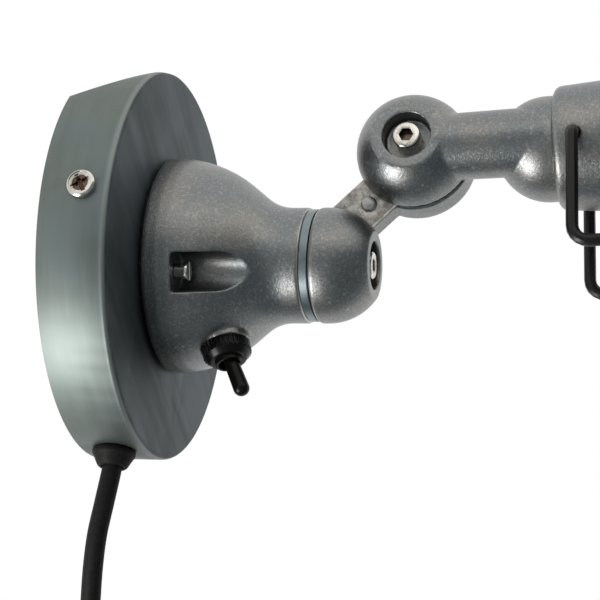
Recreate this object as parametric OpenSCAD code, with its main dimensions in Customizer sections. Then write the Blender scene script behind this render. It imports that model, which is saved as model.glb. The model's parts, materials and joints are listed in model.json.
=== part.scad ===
// Adjustable wall lamp: a shallow round drum on the wall, a cast bell with a toggle switch,
// a swivelling knuckle, a tilting half ball arm and a lamp head with a wire guard below it.
// X points out of the wall, Y away from the side that is usually seen, Z up.
// The origin is on the drum's axis at the wall. All sizes are in millimetres.

/* [Drum] */
// Outside diameter of the drum
drum_d = 122.4; // [112:0.1:140]
// Depth of the drum, from the wall to its face
drum_depth = 21.5; // [20:0.5:28]
// Thickness of the drum's rim and face
drum_wall = 2.2; // [1.6:0.1:2.8]
// Radius of the drum's front edge
drum_edge_r = 1.6; // [0.8:0.1:2]
// How deep the flat on top of the rim is cut at the wall
flat_cut = 10; // [4:0.1:12]
// How deep the flat is cut at the drum's face
flat_start = 0.4; // [0.1:0.1:2]
// Radius of the hole for the wires in the drum's face
wire_hole_r = 8; // [5:0.5:10]

/* [Wall bracket] */
// Width of the bracket strap
strap_w = 20; // [16:0.5:24]
// Thickness of the bracket strap
strap_t = 2; // [1.5:0.1:3]
// Distance between the two wall screw holes
wall_hole_spacing = 70; // [60:1:80]
// Diameter of the wall screw holes
wall_hole_d = 5; // [4:0.1:6]
// Diameter of the two screws through the rim
rim_screw_d = 4; // [3:0.5:5]
// Distance of the rim screws from the wall
rim_screw_x = 12.6; // [10:0.1:14]
// Angle of the visible rim screw above horizontal
rim_screw_angle = 22.2; // [10:0.1:30]

/* [Supply cord] */
// Diameter of the cord
cord_d = 6.2; // [5.8:0.1:6.6]
// Distance of the cord gland from the wall
gland_x = 10.5; // [8.5:0.1:11]
// Angle of the gland below horizontal
gland_angle = 68; // [60:0.5:80]
// Diameter of the gland's outer flange
gland_d = 13.4; // [12:0.1:15]
// Mean radius of the cord's outermost loop
coil_r = 48; // [46:1:56]
// Loops in the coil, half of them in each layer
coil_loops = 8; // [4:2:8]
// Free space between neighbouring loops
coil_gap = 0.7; // [0.6:0.1:1.5]

/* [Cast bell] */
// Radius of the bell where it stands on the drum
bell_base_r = 33.8; // [32:0.1:36]
// Height of the straight lip at the bell's base
bell_lip = 2.2; // [1.6:0.1:3]
// Height of the narrower foot below the lip
bell_foot = 1; // [0.6:0.1:1.1]
// How far the foot is set back from the lip
bell_foot_in = 1.3; // [0.5:0.1:1.8]
// Radius of the bell's neck
neck_r = 18; // [17:0.1:19]
// Distance of the neck's end from the drum's face
bell_len = 45.8; // [44:0.1:50]
// Wall thickness of the casting
cast_wall = 3.2; // [2.5:0.1:4]
// Radius of the bell's convex shoulder
shoulder_r = 38; // [34:1:42]
// Steepest slope of the bell
bell_slope = 39; // [36:1:42]
// Radius of the hollow that runs into the neck
throat_r = 14; // [10:1:18]
// Distance of the two screw pockets from the axis
pocket_at = 27; // [26:0.1:28]
// Radius of a screw pocket
pocket_r = 6; // [5.4:0.1:6.4]
// Height of the pocket floor above the drum's face
pocket_floor = 10; // [8:0.1:12]
// Angle of the pockets below horizontal
pocket_angle = 4; // [0:0.5:8]

/* [Toggle switch] */
// Distance of the switch from the drum's face
switch_x = 22.1; // [20:0.1:24]
// Angle of the switch below horizontal
switch_angle = 60.5; // [50:0.5:75]
// Lean of the switch towards the neck
switch_lean = 18; // [12:0.5:24]
// Diameter of the knurled nut
switch_nut_d = 15; // [14:0.1:16]
// Height of the knurled nut
switch_nut_h = 5.2; // [4:0.1:6]
// Length of the lever outside the nut
lever_len = 13.2; // [9:0.1:15]
// Diameter of the lever's tip
lever_d = 5; // [4.6:0.1:5.4]
// Throw of the lever to each side
lever_throw = 9; // [6:0.5:10]

/* [Knuckle] */
// Roll of the arm's plane about the axis of the base
arm_roll = 20; // [0:1:40]
// Thickness of the ring between bell and knuckle
ring_t = 2.6; // [2:0.1:4]
// Radius of the knuckle's dome
dome_r = 18; // [17:0.1:19]
// Length of the dome's straight part
dome_straight = 2.8; // [2:0.1:5]
// Radius of the recesses for the socket head screws
recess_r = 7.5; // [7:0.1:8]
// Depth of the screw recesses
recess_depth = 5.4; // [5:0.1:6]
// Diameter of the two pivot screws
pivot_d = 5; // [4:0.5:6]
// Distance of the tilt axis from the dome's centre, along the base axis
ball_dx = 24.4; // [22:0.1:28]
// Distance of the tilt axis from the base axis
ball_dr = 37.5; // [34:0.1:42]
// Radius of the half ball
ball_r = 18.2; // [17.6:0.1:19]
// Height of the half ball above its flat side
ball_h = 14.6; // [14:0.1:15.4]
// Radius of the disc behind the half ball
disc_r = 18; // [16:0.1:18.6]
// Thickness of that disc's straight part and of the web
web_t = 7.2; // [6:0.1:9]
// Width of the web
web_w = 13.6; // [11:0.1:15]
// Angle of the web to the base axis
web_angle = 46; // [42:0.5:50]
// Thickness of the steel link plate
plate_t = 2; // [1.5:0.1:3]
// Diameter of the rivet's head
rivet_d = 5; // [4:0.1:6]

/* [Lamp head] */
// Upward tilt of the head at rest
head_tilt = 3; // [0:0.5:10]
// Radius of the neck between ball and cup
arm_neck_r = 10.4; // [9:0.1:11]
// Radius of the round cup
cup_r = 16.4; // [15:0.1:17]
// Distance of the cup's centre from the tilt axis
cup_at = 42; // [40:0.5:46]
// Length of the collar
collar_len = 31.5; // [28:0.5:36]
// Radius of the collar at the cup
collar_r = 19.2; // [18.8:0.1:20]
// Radius of the collar at its open end
collar_front_r = 21.3; // [20.6:0.1:23]
// Radius of the reflector
hood_r = 46; // [42:1:52]
// Length of the reflector
hood_len = 134; // [124:1:150]
// Thickness of the reflector's sheet
hood_t = 1; // [0.8:0.1:1.5]
// Diameter of the bulb
bulb_d = 60; // [55:1:64]
// Length of the bulb's glass
bulb_len = 92; // [84:1:96]

/* [Wire guard] */
// Diameter of the guard's wire
wire_d = 3.8; // [3:0.1:4]
// Distance of the long wires below the head's axis
guard_drop = 40; // [38:0.5:44]
// Distance of each long wire from the head's middle plane
guard_half = 23.4; // [22:0.1:26]
// Distance of the guard's hinge holes from the tilt axis
guard_at = 51.5; // [50:0.1:54]
// Height of the hinge holes below the head's axis
guard_hole_drop = 3.5; // [2:0.1:5]
// Bend radius of the wire
bend_r = 5; // [4:0.1:6]
// Number of cross wires
cross_wires = 3; // [2:1:5]

/* [Hidden] */
$fn = 96;

// Clearances
run_gap = 0.06;
seat_gap = 0.1;
screw_gap = 0.2;
soft_gap = 0.3;
past = 1;

// Drum
drum_r = drum_d / 2;
drum_in_r = drum_r - drum_wall;
face_back = drum_depth - drum_wall;
flat_angle = atan((flat_cut - flat_start) / drum_depth);

// Bracket
tab_face = sqrt(pow(drum_in_r, 2) - pow(strap_w / 2, 2)) - seat_gap;
tab_h = rim_screw_x + 4;
rim_head_r = 4.4;
rim_head_h = 2;
rim_screw_len = 9;

// Stations along the base axis
bell_end = drum_depth + bell_len;
ring_end = bell_end + ring_t;
dome_start = ring_end + run_gap;
dome_centre = dome_start + dome_straight;
dome_flat_r = 10.5;
dome_end = dome_centre + sqrt(pow(dome_r, 2) - pow(dome_flat_r, 2));
recess_floor = dome_end - recess_depth;
neck_floor = 5;
neck_inside = bell_end - neck_floor;
bore_r = pivot_d / 2 + run_gap;
head_r = pivot_d * 0.85;
head_h = pivot_d;
socket_af = pivot_d * 0.8;
nut_af = pivot_d * 1.6;
nut_h = pivot_d * 0.8;
spring_t = 1.2;
stop_at = 12.6;
stop_r = 1.5;
stop_reach = 2.4;
stop_span = 173;

// Tilt joint, in the arm's plane
ball_x = dome_centre + ball_dx;
tilt_floor = ball_h - head_h - spring_t;
disc_back = -plate_t - web_t;
back_h = 5.4;
nut_pocket = 4.6;
rivet_x = dome_centre + 11;
rivet_r = ball_dr - 17.1;

// Head, measured from the tilt axis along the head's axis
head_side = -1.5;
head_drop = 1;
neck_side = 4.6;
neck_up = -0.8;
collar_at = cup_at + 2.5;
collar_end = collar_at + collar_len;
spigot_end = cup_at + 12;
holder_r = 16.9;
holder_at = spigot_end + 2;
skirt_r = 16.4;
skirt_end = collar_end + 18;
hood_at = collar_end + seat_gap;
hood_end = hood_at + hood_len;
ring_at = hood_at + hood_t + seat_gap;
cap_r = 13.1;
cap_bore_r = 13.7;
cap_at = holder_at + 9;
cap_end = skirt_end + 3;
hem_r = 1.5;

// Guard
wire_r = wire_d / 2;
pin_wire_r = wire_r + 0.03;
hole_r = pin_wire_r + run_gap;
hole_side = collar_r + (collar_front_r - collar_r) * (guard_at - collar_at) / collar_len;
guard_end = hood_end - 6;
cross_r = 1.5;

// Cord. The points run from inside the drum down to the coil.
cord_r = cord_d / 2;
coil_pitch = cord_d + coil_gap;
coil_x = 4.5;
coil_y = coil_r - 31;
coil_z = -162;
coil_top = coil_z + cord_d;
cord_route = [[10.5, -18, -44.5], [10.5, -22.5, -55.7], [10.5, -25.1, -62.1], [9, -27.9, -72.5],
    [7.4, -29.8, -82], [6.4, -30.8, -92], [5.8, -31.2, -102], [5.2, -31.3, -114],
    [4.6, -31.1, -127], [4.5, -31, -141], [4.5, -31, coil_top]];
plug_x = 20;
plug_top = coil_z - 46;
plug_r = 18.4;
plug_len = 43;

// Turns Z into X
module along_x(x = 0) translate([x, 0, 0]) rotate([0, 90, 0]) children();

// A place on a surface round the base axis: Z points outwards, X stays X
module on_side(x, r, angle)
    rotate([angle, 0, 0]) translate([x, -r, 0]) rotate([90, 0, 0]) children();

// The plane of the arm: X stays X, Y is the distance from the base axis, Z is the tilt axis
module arm_plane() rotate([-arm_roll, 0, 0]) rotate([90, 0, 0]) children();
module tilt_axis() arm_plane() translate([ball_x, ball_dr, 0]) children();

// The head: X runs along it from the tilt axis, Y is up and Z is across, in its middle plane
module head_frame() tilt_axis() rotate([0, 0, head_tilt]) translate([0, -head_drop, head_side])
    children();
// The same with Z along the head, Y up and X to the far side
module head_turned() head_frame() rotate([0, 90, 0]) children();

// A ring with a rectangular section that stands on Z = 0
module tube(outer_r, inner_r, h) difference() {
    cylinder(r = outer_r, h = h);
    translate([0, 0, -past]) cylinder(r = inner_r, h = h + 2 * past);
}

// A hexagonal prism, measured across its flats
module hexagon(af, h) cylinder(r = af / sqrt(3), h = h, $fn = 6);

// A screw with a cylindrical head above Z = 0, its shank below, and a hexagon socket
module socket_screw(shank) difference() {
    union() {
        cylinder(r = head_r, h = head_h - 0.4);
        translate([0, 0, head_h - 0.4]) cylinder(r1 = head_r, r2 = head_r - 0.4, h = 0.4);
        translate([0, 0, -shank]) cylinder(r = pivot_d / 2, h = shank);
    }
    translate([0, 0, head_h - 2.6]) hexagon(socket_af, 2.6 + past);
}

module hex_nut(af, h, hole_r) difference() {
    hexagon(af, h);
    translate([0, 0, -past]) cylinder(r = hole_r, h = h + 2 * past);
}

// A split spring washer
module spring_washer(outer_r, inner_r, h) difference() {
    tube(outer_r, inner_r, h);
    translate([inner_r - past, -0.4, -past]) cube([outer_r, 0.8, h + 2 * past]);
}

// Points of an arc, from angle a to angle b
function arc(cx, cy, r, a, b, n = 8) = [for (i = [0:n])
    let (t = a + (b - a) * i / n) [cx + r * cos(t), cy + r * sin(t)]];

function unit(v) = v / norm(v);

// A wheel with straight teeth all round, for knurled and ribbed edges
module knurled(teeth, r, depth, h) linear_extrude(h) polygon([for (i = [0:teeth - 1])
    let (a = 360 * i / teeth, w = 90 / teeth)
        each [r * [cos(a - w), sin(a - w)], r * [cos(a + w), sin(a + w)],
            (r - depth) * [cos(a + 1.5 * w), sin(a + 1.5 * w)],
            (r - depth) * [cos(a + 2.5 * w), sin(a + 2.5 * w)]]]);

// One straight stretch of wire with a round section
module rod(a, b, r) {
    d = unit(b - a);
    side = unit(cross(d, abs(d.z) < 0.9 ? [0, 0, 1] : [1, 0, 0]));
    up = cross(d, side);
    multmatrix([[side.x, up.x, d.x, a.x], [side.y, up.y, d.y, a.y],
        [side.z, up.z, d.z, a.z], [0, 0, 0, 1]])
        cylinder(r = r, h = norm(b - a), $fn = 32);
}

// Points along a bend of radius r round the corner between two straight stretches
function bend(before, corner, after, r, steps) = let (a = unit(corner - before),
    b = unit(after - corner), turn = acos(a * b), reach = r * tan(turn / 2),
    middle = corner + unit(b - a) * r / cos(turn / 2), x = unit(corner - a * reach - middle))
        [for (i = [0:steps]) middle + r * (cos(turn * i / steps) * x + sin(turn * i / steps) * a)];

// A wire's centreline along its corner points, with every corner rounded by its own radius
function bent(p, radii, steps) = concat([p[0]],
    [for (i = [1:len(p) - 2]) each bend(p[i - 1], p[i], p[i + 1], radii[i - 1], steps)],
    [p[len(p) - 1]]);

// A tube of one skin along points. Each ring's first direction is carried on from the one before.
function carried(way, u, i = 0) = let (v = unit(u - (u * way[i]) * way[i]))
    i == len(way) - 1 ? [v] : concat([v], carried(way, v, i + 1));
module sweep(p, r, sides) {
    last = len(p) - 1;
    way = [for (i = [0:last]) unit(p[min(i + 1, last)] - p[max(i - 1, 0)])];
    across = abs(way[0].x) < 0.9 ? [1, 0, 0] : [0, 1, 0];
    side = carried(way, across);
    ring = [for (i = [0:last]) let (u = side[i], v = cross(way[i], u)) for (k = [0:sides - 1])
        p[i] + r * (cos(360 * k / sides) * u + sin(360 * k / sides) * v)];
    skin = [for (i = [0:last - 1]) for (k = [0:sides - 1])
        let (a = i * sides + k, b = i * sides + (k + 1) % sides)
            each [[a, a + sides, b], [b, a + sides, b + sides]]];
    ends = [for (k = [1:sides - 2]) each [[0, k, k + 1],
        [last * sides, last * sides + k + 1, last * sides + k]]];
    polyhedron(ring, concat(skin, ends));
}

// Drum outline with its rounded front edge, from the wall to the face
module drum_profile(r, depth, edge) polygon(concat([[0, 0], [r, 0]],
    arc(r - edge, depth - edge, edge, 0, 90), [[0, depth]]));

// The side that the flat on top of the rim leaves standing
module under_flat(inset) translate([drum_depth, 0, drum_r - flat_start - inset])
    rotate([0, -flat_angle, 0])
    translate([-2 * drum_r, -drum_r - past, -2 * drum_d]) cube([4 * drum_r, drum_d + 2 * past, 2 * drum_d]);

module wall_bracket() color("silver") rotate([-rim_screw_angle, 0, 0]) difference() {
    union() {
        translate([0, -tab_face, -strap_w / 2]) cube([strap_t, 2 * tab_face, strap_w]);
        for (side = [0, 180]) rotate([side, 0, 0])
            translate([0, -tab_face, -strap_w / 2]) cube([tab_h, strap_t, strap_w]);
    }
    for (side = [0, 180]) rotate([side, 0, 0]) {
        translate([-past, -wall_hole_spacing / 2, 0]) rotate([0, 90, 0])
            cylinder(d = wall_hole_d, h = strap_t + 2 * past);
        translate([rim_screw_x, -tab_face - past, 0]) rotate([-90, 0, 0])
            cylinder(r = rim_screw_d / 2 + run_gap, h = strap_t + 2 * past);
    }
    translate([-past, block_screw_at, 0]) rotate([0, 90, 0])
        cylinder(r = 1.5 + run_gap, h = strap_t + 2 * past);
}

module base_drum() color("slategray") difference() {
    intersection() {
        rotate([0, 90, 0]) rotate_extrude() drum_profile(drum_r, drum_depth, drum_edge_r);
        under_flat(0);
    }
    intersection() {
        translate([-past, 0, 0]) rotate([0, 90, 0]) rotate_extrude()
            drum_profile(drum_in_r, face_back + past, drum_edge_r);
        translate([-past, 0, 0]) under_flat(drum_wall);
    }
    along_x(face_back - past) cylinder(r = wire_hole_r, h = drum_wall + 2 * past);
    for (side = [0, 180]) {
        on_side(rim_screw_x, drum_in_r - past, side - rim_screw_angle)
            cylinder(r = rim_screw_d / 2 + screw_gap, h = drum_wall + 2 * past);
        rotate([side + pocket_angle, 0, 0]) translate([face_back - past, -pocket_at, 0])
            rotate([0, 90, 0]) cylinder(r = 2 + screw_gap, h = drum_wall + 2 * past);
    }
    on_side(gland_x, drum_in_r - 2 * past, gland_angle)
        cylinder(r = gland_neck_r + seat_gap, h = drum_wall + 4 * past);
}

// Cross recess in the head of a screw, deeper in its middle
module cross_recess(size, width, depth) for (turn = [30, 120]) rotate([0, 0, turn]) {
    translate([-size / 2, -width / 2, -depth]) cube([size, width, depth + past]);
    translate([-size / 4, -width / 2, -2 * depth]) cube([size / 2, width, depth + past]);
}

module rim_screws() color("gainsboro") for (side = [0, 180])
    on_side(rim_screw_x, drum_r, side - rim_screw_angle) difference() {
        union() {
            cylinder(r = rim_head_r, h = rim_head_h - 0.6);
            translate([0, 0, rim_head_h - 0.6])
                cylinder(r1 = rim_head_r, r2 = rim_head_r - 0.5, h = 0.6);
            translate([0, 0, -rim_screw_len]) cylinder(r = rim_screw_d / 2, h = rim_screw_len + past / 2);
        }
        translate([0, 0, rim_head_h - 0.3]) cylinder(r = rim_head_r - 0.9, h = past);
        translate([0, 0, rim_head_h - 0.3]) cross_recess(6, 1.3, 0.6);
    }

// Gland
gland_neck_r = cord_r + 1.9;
gland_out = 5.6;
module cord_gland() color("#1c1a18") on_side(gland_x, drum_r, gland_angle) rotate_extrude()
    polygon([[cord_r + soft_gap, -drum_wall - 2.4], [gland_d / 2 - 0.6, -drum_wall - 2.4],
        [gland_d / 2 - 0.2, -drum_wall - 0.5], [gland_neck_r, -drum_wall - 0.5], [gland_neck_r, 0.1],
        [gland_d / 2, 0.1], [gland_d / 2, 1.7], [gland_d / 2 - 0.5, 2.2], [cord_r + 1.8, gland_out - 0.8],
        [cord_r + 1.2, gland_out], [cord_r + soft_gap, gland_out]]);

// Terminal block in the middle of the bracket
block_l = 33;
block_w = 17;
block_h = 11;
block_poles = 3;
block_screw_at = 5.5;
pole_pitch = 11;
module terminal_block() color("ivory") rotate([-rim_screw_angle, 0, 0])
    translate([strap_t, 0, 0]) difference() {
        union() {
            translate([0, -block_l / 2, -block_w / 2]) cube([block_h * 0.6, block_l, block_w]);
            for (i = [0:block_poles - 1]) translate([0, pole_y(i) - 3.6, -block_w / 2 + 1.5])
                cube([block_h, 7.2, block_w - 3]);
        }
        for (i = [0:block_poles - 1]) {
            translate([block_h * 0.62, pole_y(i), -block_w / 2 - past])
                cylinder(r = 1.9, h = block_w + 2 * past);
            for (end = [-1, 1]) translate([block_h * 0.62, pole_y(i), end * 4.2])
                rotate([0, 90, 0]) cylinder(r = 1.6, h = block_h);
        }
        translate([-past, block_screw_at, 0]) rotate([0, 90, 0]) {
            cylinder(r = 1.5 + run_gap, h = block_h);
            translate([0, 0, past + block_h * 0.6]) cylinder(r = 2.9, h = block_h);
        }
    }
function pole_y(i) = (i - (block_poles - 1) / 2) * pole_pitch;

// The clamping screws, and the longer one that holds the block on the bracket
module terminal_screws() color("goldenrod") rotate([-rim_screw_angle, 0, 0]) {
    for (i = [0:block_poles - 1], end = [-1, 1])
        translate([strap_t + block_h * 0.62 + 0.6, pole_y(i), end * 4.2]) rotate([0, 90, 0])
            difference() {
                cylinder(r = 1.5, h = 2.4);
                translate([-2, -0.25, 1.7]) cube([4, 0.5, past]);
            }
    translate([0, block_screw_at, 0]) rotate([0, 90, 0]) difference() {
        union() {
            cylinder(r = 1.5, h = strap_t + block_h * 0.6 + past / 2);
            translate([0, 0, strap_t + block_h * 0.6]) cylinder(r1 = 2.6, r2 = 1.8, h = 1.6);
        }
        translate([-3, -0.3, strap_t + block_h * 0.6 + 0.9]) cube([6, 0.6, past]);
    }
}

// Outside of the bell as [distance from the drum's face, radius]. A lip, a convex shoulder,
// a straight flank and a hollow throat that runs into the neck.
flank_x = bell_lip + shoulder_r * sin(bell_slope);
flank_r = bell_base_r - shoulder_r * (1 - cos(bell_slope));
throat_top = neck_r + throat_r * (1 - cos(bell_slope));
throat_x = flank_x + (flank_r - throat_top) / tan(bell_slope);
neck_x = throat_x + throat_r * sin(bell_slope);
bell_outside = concat([[0, bell_base_r - bell_foot_in], [bell_foot, bell_base_r - bell_foot_in],
    [bell_foot + 0.1, bell_base_r - 0.4], [bell_foot + 0.4, bell_base_r]],
    [for (a = [0:bell_slope / 8:bell_slope]) [bell_lip + shoulder_r * sin(a),
        bell_base_r - shoulder_r * (1 - cos(a))]],
    [for (a = [bell_slope:-bell_slope / 6:0]) [neck_x - throat_r * sin(a),
        neck_r + throat_r * (1 - cos(a))]],
    [[bell_len - 0.5, neck_r], [bell_len, neck_r - 0.5]]);
bell_inside = concat([[-past, bell_base_r - cast_wall]],
    [for (a = [0:bell_slope / 8:bell_slope]) [bell_lip + (shoulder_r - cast_wall) * sin(a),
        bell_base_r - cast_wall - (shoulder_r - cast_wall) * (1 - cos(a))]],
    [for (a = [bell_slope:-bell_slope / 6:0]) [neck_x - (throat_r + cast_wall) * sin(a),
        neck_r - cast_wall + (throat_r + cast_wall) * (1 - cos(a))]],
    [[bell_len - neck_floor, neck_r - cast_wall]]);

// Turns an outline of [height, radius] points round Z
module turned(outline) rotate_extrude()
    polygon(concat([[0, outline[0][0]]], [for (p = outline) [p[1], p[0]]],
        [[0, outline[len(outline) - 1][0]]]));

module bell_body() along_x(drum_depth) turned(bell_outside);

// The switch stands on a spot face whose middle lies on the bell's flank
switch_r = flank_r - (switch_x - flank_x) * tan(bell_slope);
spot_r = switch_nut_d / 2 + 0.4;
switch_reach = 20;
module switch_place() on_side(drum_depth + switch_x, switch_r, switch_angle)
    rotate([0, switch_lean, 0]) children();

module pocket_place() for (side = [0, 180]) rotate([side + pocket_angle, 0, 0])
    translate([drum_depth, -pocket_at, 0]) rotate([0, 90, 0]) children();

module bell_mount() color("darkgray") difference() {
    union() {
        difference() {
            bell_body();
            along_x(drum_depth) turned(bell_inside);
        }
        intersection() {
            bell_body();
            pocket_place() cylinder(r = pocket_r + cast_wall - 0.7, h = bell_len);
        }
        intersection() {
            bell_body();
            switch_place() translate([0, 0, -switch_wall - 3]) cylinder(r = spot_r + 2.4, h = switch_reach);
        }
        switch_place() translate([0, 0, -switch_wall]) cylinder(r = spot_r - 0.2, h = switch_wall);
    }
    pocket_place() {
        translate([0, 0, pocket_floor]) cylinder(r = pocket_r, h = bell_len);
        translate([-pocket_r, -bell_base_r, pocket_floor]) cube([2 * pocket_r, bell_base_r, bell_len]);
        translate([0, 0, -past]) cylinder(r = 2 + screw_gap, h = pocket_floor + 2 * past);
    }
    switch_place() {
        cylinder(r = spot_r, h = switch_reach);
        translate([0, 0, -switch_reach]) cylinder(r = switch_thread_r + seat_gap, h = 2 * switch_reach);
        translate([0, 0, -switch_wall - switch_reach])
            cylinder(r = switch_body_r + soft_gap, h = switch_reach);
    }
    along_x(neck_inside - past) cylinder(r = bore_r, h = neck_floor + 2 * past);
    along_x(neck_inside - past) translate([0, stop_at, 0])
        cylinder(r = stop_r + run_gap, h = neck_floor + 2 * past);
}

// Cheese head screws in the two pockets of the bell
bell_head_r = 2.9;
bell_head_h = 4.4;
bell_nut_h = 3.2;
bell_nut_af = 7;
bell_slot = 8;
module bell_screws() color("gainsboro") pocket_place() difference() {
    union() {
        translate([0, 0, pocket_floor]) cylinder(r = bell_head_r - 0.5, h = bell_head_h - 1.2);
        translate([0, 0, pocket_floor + bell_head_h - 1.2]) cylinder(r = bell_head_r, h = 1.2);
        translate([0, 0, -drum_wall - bell_nut_h - 1.5])
            cylinder(r = 2, h = pocket_floor + drum_wall + bell_nut_h + 1.5 + past / 2);
    }
    translate([-bell_slot / 2, -0.5, pocket_floor + bell_head_h - 1]) cube([bell_slot, 1, 2]);
}

module bell_nuts() color("gainsboro") pocket_place() translate([0, 0, -drum_wall - bell_nut_h])
    hex_nut(bell_nut_af, bell_nut_h, 2 + run_gap);

// Toggle switch: a body inside the bell, a threaded collar through its wall, a nut outside
switch_wall = 3.4;
switch_thread_r = 5.9;
switch_body_r = 7.2;
lever_ball_r = 2.9;
lever_pivot = 1.6;
lever_pin_r = 0.8;
lever_pin_reach = 4.2;
lever_root_r = 2.2;
lever_tip = switch_nut_h - lever_pivot + lever_len - lever_d / 2;
switch_body_len = 14;
switch_tab = 4;
switch_nose = 1.3;
// Room that the lever needs at a height above its pivot
function lever_room(h) = lever_root_r + 0.35 + h * tan(lever_throw)
    + h * (lever_d / 2 - lever_root_r) / lever_tip;
nose_height = switch_nut_h + switch_nose - lever_pivot;
nose_r = lever_room(nose_height) + 0.75;
module switch_body() color("#26241f") switch_place() difference() {
    union() {
        translate([0, 0, -switch_wall - switch_body_len])
            cylinder(r = switch_body_r, h = switch_body_len);
        translate([0, 0, -switch_wall - past]) cylinder(r = switch_thread_r,
            h = switch_wall + past + switch_nut_h - 1.2);
        cylinder(r = nose_r, h = switch_nut_h + switch_nose);
        for (side = [-1, 1])
            translate([-0.4, side * 3.6 - 1.6, -switch_wall - switch_body_len - switch_tab])
                cube([0.8, 3.2, switch_tab + 0.5]);
    }
    translate([0, 0, lever_pivot]) sphere(r = lever_ball_r + run_gap);
    translate([0, 0, lever_pivot]) cylinder(r1 = lever_room(0), r2 = lever_room(nose_height + past),
        h = nose_height + past);
    translate([0, 0, lever_pivot - 5]) cylinder(r = 2.1, h = 5);
    translate([0, 0, lever_pivot]) rotate([90, 0, 0])
        cylinder(r = lever_pin_r + run_gap, h = 2 * lever_pin_reach + 0.2, center = true);
}

// The nut has a knurled band below a smooth bevel, and a turned-in top round the switch's nose
knurls = 32;
knurl_h = 3.4;
module switch_nut() color("#15120f") switch_place() difference() {
    union() {
        cylinder(r = switch_nut_d / 2 - 0.4, h = knurl_h);
        translate([0, 0, 0.2]) knurled(knurls, switch_nut_d / 2, 0.5, knurl_h - 0.4);
        translate([0, 0, knurl_h]) cylinder(r1 = switch_nut_d / 2 - 0.4, r2 = switch_nut_d / 2 - 1.9,
            h = switch_nut_h - knurl_h);
    }
    translate([0, 0, -past]) cylinder(r = switch_thread_r + seat_gap, h = switch_nut_h);
    translate([0, 0, -past]) cylinder(r = nose_r + seat_gap, h = switch_nut_h + 2 * past);
}

module switch_lever() color("#15120f") switch_place() translate([0, 0, lever_pivot])
    rotate([0, lever_throw, 0]) {
        sphere(r = lever_ball_r);
        translate([0, 0, -4.2]) cylinder(r = 1, h = 4.2);
        rotate([90, 0, 0]) cylinder(r = lever_pin_r, h = 2 * lever_pin_reach, center = true);
        cylinder(r1 = lever_root_r, r2 = lever_d / 2, h = lever_tip);
        translate([0, 0, lever_tip]) sphere(r = lever_d / 2);
    }

// Swivel joint on the axis of the base
module swivel_ring() color("lightsteelblue") along_x(bell_end) difference() {
    cylinder(r = neck_r - 0.5, h = ring_t);
    translate([0, 0, -past]) cylinder(r = bore_r, h = ring_t + 2 * past);
    translate([0, stop_at, -past]) cylinder(r = stop_r + run_gap, h = ring_t + 2 * past);
}

module stop_pin() color("silver") along_x(neck_inside) translate([0, stop_at, 0])
    cylinder(r = stop_r, h = neck_floor + ring_t + stop_reach);

// Solid of the dome, its flat end still closed
module dome() {
    cylinder(r1 = dome_r - 0.9, r2 = dome_r, h = 0.9);
    translate([0, 0, 0.9]) cylinder(r = dome_r, h = dome_straight - 0.9);
    translate([0, 0, dome_straight]) intersection() {
        sphere(r = dome_r);
        translate([-dome_r, -dome_r, -past / 10])
            cube([2 * dome_r, 2 * dome_r, dome_end - dome_centre + past / 10]);
    }
}

// The web, straight along the line through the rivet, between two heights
web_start = -11;
web_end = 8;
web_shift = 0.8;
plate_start = -15;
module web_line(from, low, high) translate([rivet_x, rivet_r, 0]) rotate([0, 0, web_angle])
    translate([from, web_shift - web_w / 2, low]) cube([web_end - from, web_w, high - low]);

// Disc behind the half ball, with a rounded back
disc_round = 6.4;
disc_outline = concat([[-plate_t, disc_r - 0.4], [-plate_t - 0.4, disc_r]],
    [for (a = [0:9:90]) [disc_back - back_h * sin(a), disc_r - disc_round * (1 - cos(a))]]);

module swivel_knuckle() color("darkgray") difference() {
    union() {
        along_x(dome_start) dome();
        arm_plane() web_line(web_start, disc_back, -plate_t);
        tilt_axis() turned(disc_outline);
    }
    along_x(recess_floor) cylinder(r = recess_r, h = recess_depth + past);
    along_x(dome_start - past) cylinder(r = bore_r, h = dome_end - dome_start);
    along_x(dome_start - past) rotate([0, 0, 90 - stop_span])
        rotate_extrude(angle = 2 * stop_span)
            translate([stop_at - stop_r - 0.25, 0]) square([2 * stop_r + 0.5, stop_reach + 0.4 + past]);
    tilt_axis() {
        translate([0, 0, disc_back - back_h - past]) cylinder(r = bore_r, h = web_t + back_h + 2 * past);
        translate([0, 0, disc_back - back_h - past]) hexagon(nut_af + 0.2, nut_pocket + past);
    }
    arm_plane() translate([rivet_x, rivet_r, -plate_t - 6]) cylinder(r = rivet_hole_r, h = 6 + past);
}

swivel_shank = recess_floor - neck_inside + spring_t + nut_h + 2;
module swivel_screw() color("gainsboro") along_x(recess_floor) socket_screw(swivel_shank);

module swivel_washer() color("silver") along_x(neck_inside - spring_t - run_gap)
    spring_washer(nut_af / 2, bore_r, spring_t);

module swivel_nut() color("silver") along_x(neck_inside - spring_t - 2 * run_gap - nut_h)
    hex_nut(nut_af, nut_h, bore_r);

// Steel plate on the web, scalloped round the dome and clamped under the half ball
shim_r = disc_r - 2;
module link_plate() color("dimgray") difference() {
    arm_plane() {
        web_line(plate_start, -plate_t, 0);
        translate([ball_x, ball_dr, -plate_t]) cylinder(r = shim_r, h = plate_t);
    }
    along_x(dome_centre) sphere(r = dome_r + seat_gap);
    arm_plane() {
        translate([ball_x, ball_dr, -plate_t - past]) cylinder(r = bore_r, h = plate_t + 2 * past);
        translate([rivet_x, rivet_r, -plate_t - past]) cylinder(r = rivet_hole_r, h = plate_t + 2 * past);
    }
}

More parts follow.
